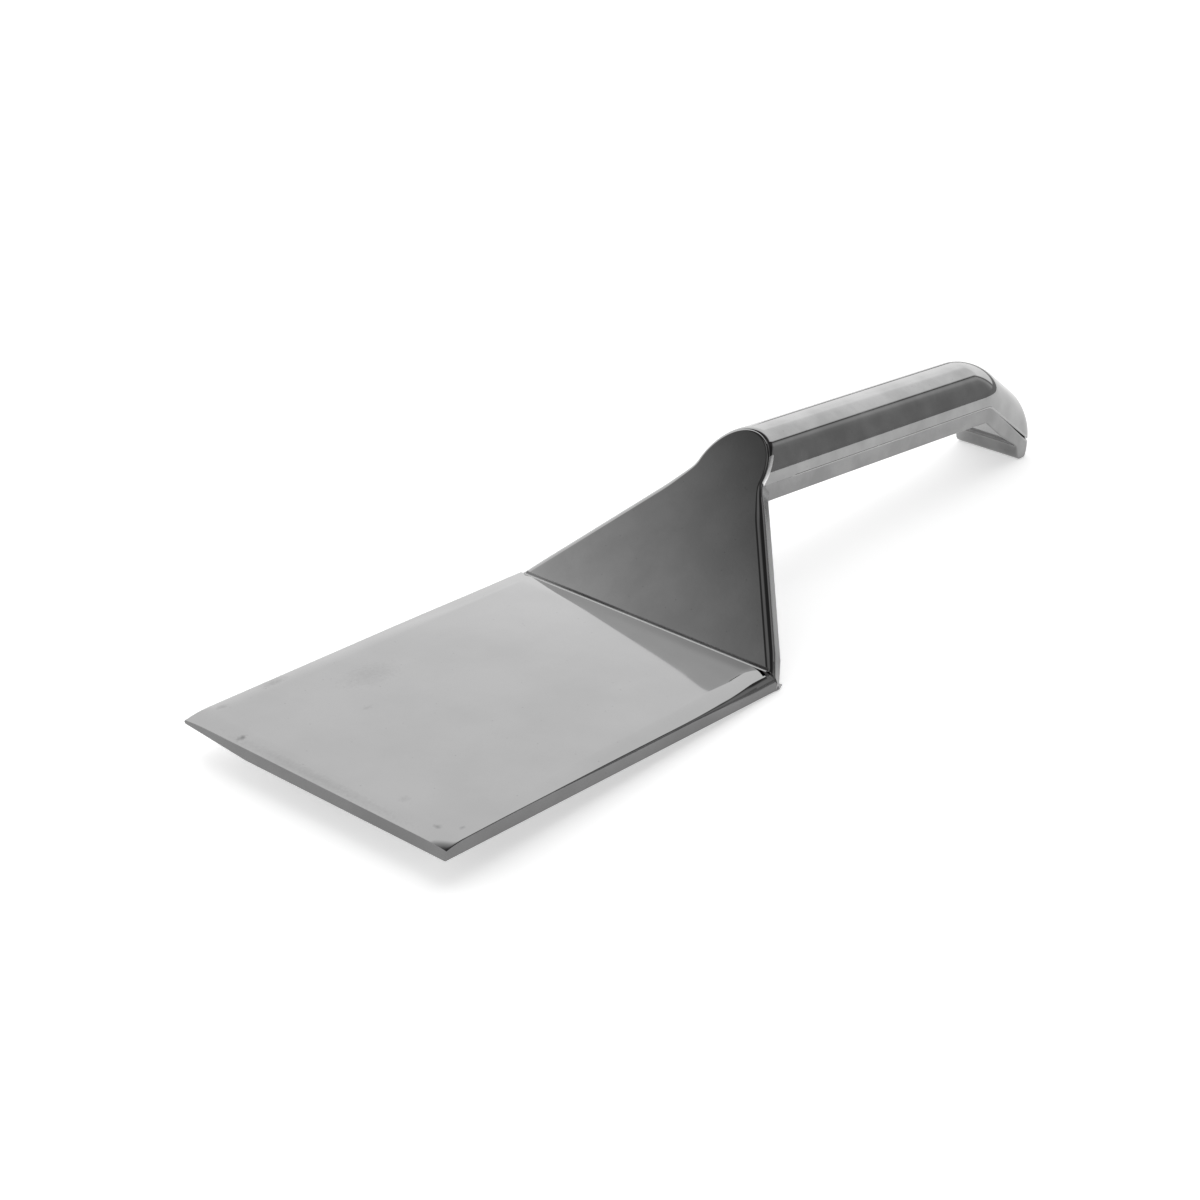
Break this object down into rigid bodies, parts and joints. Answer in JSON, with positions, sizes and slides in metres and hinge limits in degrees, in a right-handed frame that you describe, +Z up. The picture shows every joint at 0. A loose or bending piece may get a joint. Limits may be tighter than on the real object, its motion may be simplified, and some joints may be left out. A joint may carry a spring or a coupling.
{
  "type": "offset flat hand trowel",
  "caption": "One-hand flat steel tool: bevelled blade, leaning riser plate and a half-round handle that turns down into a foot.",
  "frame": {"origin": "bottom centre of the bounding box, with the tool standing on its heel and its foot", "axes": "+X from the blade's front edge to the foot, +Y to the left when looking along +X, +Z up"},
  "size_m": [0.3332, 0.1, 0.0524],
  "materials": {
    "polished_blade": "mirror polished with fine scratches",
    "polished_riser": "mirror polished",
    "polished_handle": "mirror polished",
    "weld_bead": "polished weld"
  },
  "bodies": {
    "root": {"blade_plate": "polished_blade", "riser_plate": "polished_riser", "heel_weld": "weld_bead", "crease_fillet": "weld_bead", "handle_crown": "polished_handle", "handle_strip": "polished_handle", "neck_weld": "weld_bead", "strip_weld": "weld_bead", "left_seam_braze": "weld_bead", "right_seam_braze": "weld_bead"}
  },
  "joints": []
}
